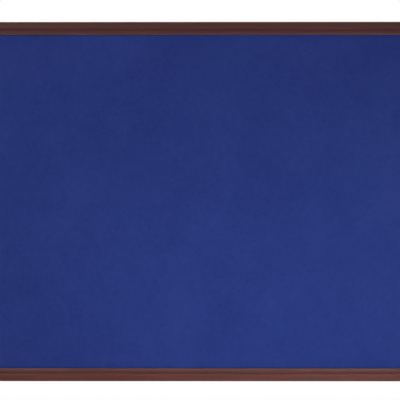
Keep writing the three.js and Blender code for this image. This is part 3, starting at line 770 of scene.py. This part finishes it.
def makeRing(side, eye):
    # A bar, two tight corners and a half-round bow, bent from one wire whose ends meet inside the eye
    r = ring
    bm = bmesh.new()
    bmesh.ops.create_circle(bm, cap_ends=True, segments=r["sides"], radius=r["wire"] / 2 * mm,
                            matrix=Matrix.Rotation(math.pi / 2, 4, "Y"))
    bmesh.ops.translate(bm, verts=bm.verts[:], vec=(r["seam"] / 2 * mm, 0, 0))
    halfBar = ((r["barHalf"] - r["seam"] / 2) * mm, 0, 0)
    rim = growEdges(bm, bm.edges[:], halfBar)
    for across, degrees, steps in ((r["barHalf"], 90, r["cornerSteps"]), (0, 180, r["bowSteps"]),
                                   (-r["barHalf"], 90, r["cornerSteps"])):
        centre = (across * mm, 0, -r["corner"] * mm)
        rim = edgesOf(spinRound(bm, rim, centre, (0, 1, 0), degrees, steps))
    rim = growEdges(bm, rim, halfBar)
    bmesh.ops.edgeloop_fill(bm, edges=rim)
    reach = r["barHalf"] + 2 * r["corner"]
    bowOut = strapFace + strap["seatGap"] + r["wire"] / 2
    lean = math.asin((bowOut - eyeOut) / reach)
    bm.transform(Matrix.Translation(eye) @ Matrix.Rotation(lean, 4, "X"))
    makePiece(f"ring_{side}", bm, [zinc], f"{side}_ring", f"hanger_ring_{side}")


def makeScrew(side, place, eye, drop, turn):
    # Countersunk wood screw: a cross recess, a coned head, and a rolled thread towards its tip
    s = screw
    bm = bmesh.new()
    outline = [(0, 0), (s["head"], 0), (s["head"], -s["land"]),
               (s["shank"], -s["land"] - (s["head"] - s["shank"])),
               (s["shank"], -s["neck"]), (s["core"], -s["neck"] - s["neckCone"]),
               (s["core"], s["tip"] - s["length"]), (0, -s["length"])]
    lathe(bm, outline, s["sides"])

    turns = (s["threadLow"] - s["threadTop"]) / s["pitch"]
    steps = round(turns * s["threadSteps"])
    root = s["core"] - s["rootSink"]
    ridge = [bm.verts.new((radius * mm, 0, (up - s["threadLow"]) * mm)) for radius, up in
             ((root, -s["ridgeHalf"]), (s["crest"], 0), (root, s["ridgeHalf"]))]
    bmesh.ops.rotate(bm, cent=(0, 0, 0), matrix=Matrix.Rotation(s["threadTurn"], 3, "Z"), verts=ridge)
    loop = [bm.edges.new((ridge[i], ridge[(i + 1) % 3])) for i in range(3)]
    bm.faces.new(ridge)
    wound = spinRound(bm, loop, (0, 0, 0), (0, 0, 1), turns * 360, steps, turns * s["pitch"] * mm / steps)
    bmesh.ops.edgeloop_fill(bm, edges=edgesOf(wound))
    placed = holePlace(eye, drop) @ Matrix.Rotation(turn, 4, "Z")
    bm.transform(placed)
    piece = makePiece(f"screw_{side}_{place}", bm, [zinc], "board",
                      f"hanger_screw_{side}_{place}")

    driver = bmesh.new()
    blade = Vector((s["recessSpan"], s["recessWidth"], 2 * s["recessDepth"])) * mm
    for quarter in (0, 1):
        wing = bmesh.ops.create_cube(driver, size=1)["verts"]
        bmesh.ops.scale(driver, vec=blade, verts=wing)
        low = [vert for vert in wing if vert.co.z < 0]
        bmesh.ops.scale(driver, vec=(*s["recessTaper"], 1), verts=low)
        bmesh.ops.rotate(driver, cent=(0, 0, 0), matrix=Matrix.Rotation(quarter * math.pi / 2, 3, "Z"),
                         verts=wing)
    driver.transform(placed)
    cutAway([piece], driver, crossing=True)


for side in ("left", "right"):
    eye = hingeAt[f"{side}_ring"]
    makeStrap(side, eye)
    makeRing(side, eye)
    for place, (drop, turn) in strap["screws"].items():
        makeScrew(side, place, eye, drop, turn)
print("hangers made")


# Wall bumpers

bumper = {"foot": 6, "face": 5, "edge": 0.8}  # mm


def makeBumper(corner):
    low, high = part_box(f"wall_bumper_{corner}")
    bm = bmesh.new()
    bmesh.ops.create_cone(bm, cap_ends=True, segments=48, radius1=bumper["foot"] * mm,
                          radius2=bumper["face"] * mm, depth=high.y - low.y)
    rim = [edge for edge in bm.edges if all(vert.co.z > 0 for vert in edge.verts)]
    bmesh.ops.bevel(bm, geom=rim, offset=bumper["edge"] * mm, offset_type="OFFSET", segments=5, profile=0.5,
                    affect="EDGES", material=-1)
    bm.transform(Matrix.Translation((low + high) / 2) @ Matrix.Rotation(-math.pi / 2, 4, "X"))
    makePiece(f"bumper_{corner}", bm, [rubber], "board", f"wall_bumper_{corner}")


for corner in corners:
    makeBumper(corner)
print("bumpers made")


# Stage: a pale floor below the board, plain soft light, and the photograph's straight-on view

stage = {"floorDrop": 0.75, "floorRadius": 2.7, "fadeFrom": 0.8, "fadeTo": 2.646, "floorColour": "#ecece9"}
lamps = {  # place, what it points at, size, spread in degrees, watts
    "key": ((0.8, -3.0, 0.4), (0.3, 0, -0.6), 0.6, 50, 3.3),
    "low": ((0.5, -1.2, -0.75), (0, 0, 0), 0.5, 180, 3.6),
    "fill": ((-1.3, -2.0, 0.75), (0, 0, 0), 0.8, 180, 21.0),
    "behind": ((-0.8, 2.6, 1.6), (0, 0, 0), 1.6, 180, 60),
}
ambient = 0.4
photo = {"heightPx": 400, "topEdgePx": 21.65, "bottomEdgePx": 381.5, "distance": 3.6, "turnDegrees": 0.19}


def makeFloor():
    # Pale, plain, and lost in the white background towards its rim
    bm = bmesh.new()
    bmesh.ops.create_circle(bm, cap_ends=True, segments=96, radius=stage["floorRadius"],
                            matrix=Matrix.Translation((0, 0, -halfHeight - stage["floorDrop"])))
    mesh = bpy.data.meshes.new("floor")
    bm.to_mesh(mesh)
    bm.free()
    material, tree = newMaterial("pale floor")
    shader = addNode(tree, "ShaderNodeBsdfPrincipled", Base_Color=linear(stage["floorColour"]), Roughness=0.8,
                     Specular_IOR_Level=0.2)
    coords = addNode(tree, "ShaderNodeTexCoord").outputs["Object"]
    flat = addNode(tree, "ShaderNodeVectorMath", {"operation": "MULTIPLY"}, _0=coords, _1=(1, 1, 0))
    reach = addNode(tree, "ShaderNodeVectorMath", {"operation": "LENGTH"}, _0=flat.outputs["Vector"])
    fade = addNode(tree, "ShaderNodeMapRange", {"interpolation_type": "SMOOTHSTEP"},
                   Value=reach.outputs["Value"], From_Min=stage["fadeFrom"], From_Max=stage["fadeTo"])
    path = addNode(tree, "ShaderNodeLightPath")
    faded = addNode(tree, "ShaderNodeMath", {"operation": "MULTIPLY"}, _0=fade.outputs["Result"],
                    _1=path.outputs["Is Camera Ray"])
    white = addNode(tree, "ShaderNodeEmission", Color=(1, 1, 1, 1), Strength=1)
    floorMix = addNode(tree, "ShaderNodeMixShader", _0=faded.outputs["Value"], _1=shader.outputs["BSDF"],
                       _2=white.outputs["Emission"])
    addNode(tree, "ShaderNodeOutputMaterial", Surface=floorMix.outputs["Shader"])
    mesh.materials.append(material)
    floor = bpy.data.objects.new("floor", mesh)
    scene.collection.objects.link(floor)


def makeWorld():
    # White where it is seen, straight or in a gloss, and a plain ambient light for the rest
    world = bpy.data.worlds.new("studio")
    scene.world = world
    world.use_nodes = True
    tree = world.node_tree
    tree.nodes.clear()
    path = addNode(tree, "ShaderNodeLightPath")
    seen = addNode(tree, "ShaderNodeMath", {"operation": "MAXIMUM"}, _0=path.outputs["Is Camera Ray"],
                   _1=path.outputs["Is Transmission Ray"])
    mirrored = addNode(tree, "ShaderNodeMath", {"operation": "MAXIMUM"}, _0=seen.outputs["Value"],
                       _1=path.outputs["Is Glossy Ray"])
    strength = addNode(tree, "ShaderNodeMapRange", Value=mirrored.outputs["Value"], To_Min=ambient, To_Max=1)
    light = addNode(tree, "ShaderNodeBackground", Color=(1, 1, 1, 1), Strength=strength.outputs["Result"])
    addNode(tree, "ShaderNodeOutputWorld", Surface=light.outputs["Background"])


def aim(thing, target):
    thing.rotation_euler = (Vector(target) - thing.location).to_track_quat("-Z", "Y").to_euler()
    scene.collection.objects.link(thing)


def makeLamps():
    for name, (place, target, size, spread, watts) in lamps.items():
        light = bpy.data.lights.new(name, "AREA")
        light.shape = "DISK"
        light.size = size
        light.spread = math.radians(spread)
        light.energy = watts
        lamp = bpy.data.objects.new(name, light)
        lamp.location = place
        lamp.visible_camera = False
        aim(lamp, target)


def makeCamera():
    # The board's full height spans topEdgePx to bottomEdgePx, and the lens looks level
    spanPx = photo["bottomEdgePx"] - photo["topEdgePx"]
    viewHeight = 2 * halfHeight * photo["heightPx"] / spanPx
    middlePx = (photo["bottomEdgePx"] + photo["topEdgePx"]) / 2
    level = (middlePx - photo["heightPx"] / 2) * viewHeight / photo["heightPx"]
    lens = bpy.data.cameras.new("camera")
    lens.lens = lens.sensor_width * photo["distance"] / viewHeight
    camera = bpy.data.objects.new("camera", lens)
    target = Vector((0, frameFront, level))
    turn = math.radians(photo["turnDegrees"])
    camera.location = target + Vector((math.sin(turn), -math.cos(turn), 0)) * photo["distance"]
    aim(camera, target)
    scene.camera = camera


makeFloor()
makeWorld()
makeLamps()
makeCamera()
scene.view_settings.view_transform = "Standard"
print("stage made")
